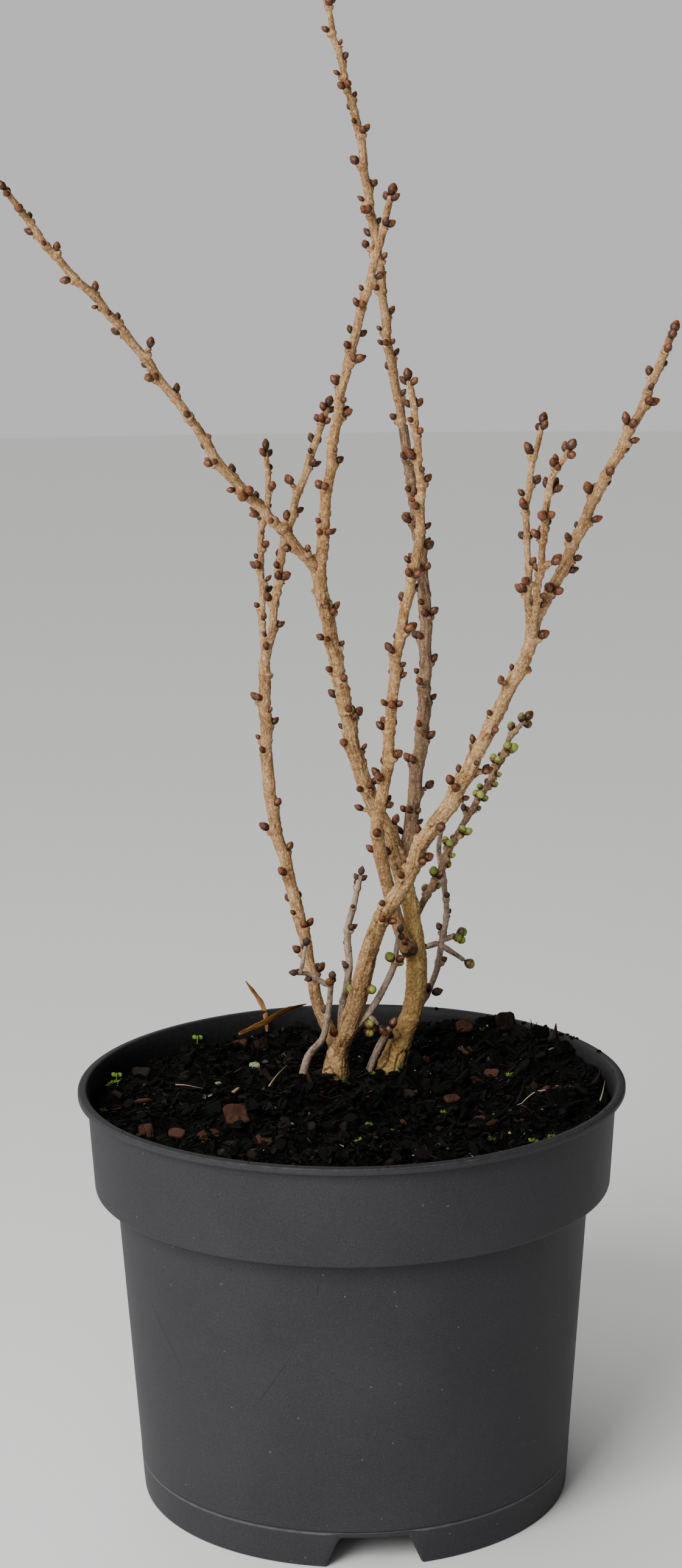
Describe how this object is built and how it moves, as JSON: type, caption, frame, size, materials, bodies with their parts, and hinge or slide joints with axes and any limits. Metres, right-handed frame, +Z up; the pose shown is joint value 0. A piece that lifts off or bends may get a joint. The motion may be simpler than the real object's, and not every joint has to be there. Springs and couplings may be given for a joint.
{
  "type": "potted kojo-no-mai fuji cherry",
  "caption": "Bare winter flowering shrub: slender upright stems rise from compost in a round plastic nursery pot, each ending in budded twigs.",
  "frame": {"origin": "on the pot's axis, at the floor that the pot stands on", "axes": "+Z up along the pot's axis to the tip of the top shoot, -Y towards the viewer of the picture, +X to that viewer's right"},
  "size_m": [0.2148, 0.19, 0.5218],
  "materials": {
    "pot_plastic": "satin moulded anthracite plastic, fine speckle and faint scuffs",
    "compost": "matt near-black potting compost with bark chips and fibres",
    "old_bark": "matt olive-brown bark, lightly ridged, with fissures at the foot",
    "young_bark": "thin light brown bark with fine lines and pale pores",
    "pale_bark": "thin pale tan bark with fine lines and pale pores",
    "grey_bark": "grey-brown weathered bark",
    "budded_twigs": "light brown twigs with red-brown scaly winter buds, some of them swelling green"
  },
  "bodies": {
    "root": {"pot": "pot_plastic", "potting_soil": "compost", "trunk_front": "old_bark", "trunk_back": "old_bark", "bough_right": "old_bark", "bough_middle": "old_bark", "bough_left": "young_bark", "bough_far_left": "young_bark", "bough_front": "pale_bark", "bough_inner": "pale_bark", "leader": "grey_bark", "shoot_thin": "grey_bark", "shoot_low_left": "grey_bark", "shoot_low_right": "grey_bark", "twigs_left": "budded_twigs", "twigs_right": "budded_twigs", "twigs_front": "budded_twigs", "twigs_top": "budded_twigs", "twigs_far_left": "budded_twigs", "twigs_inner": "budded_twigs", "twigs_green": "budded_twigs", "twigs_grey": "budded_twigs", "twigs_between": "budded_twigs"}
  },
  "joints": []
}
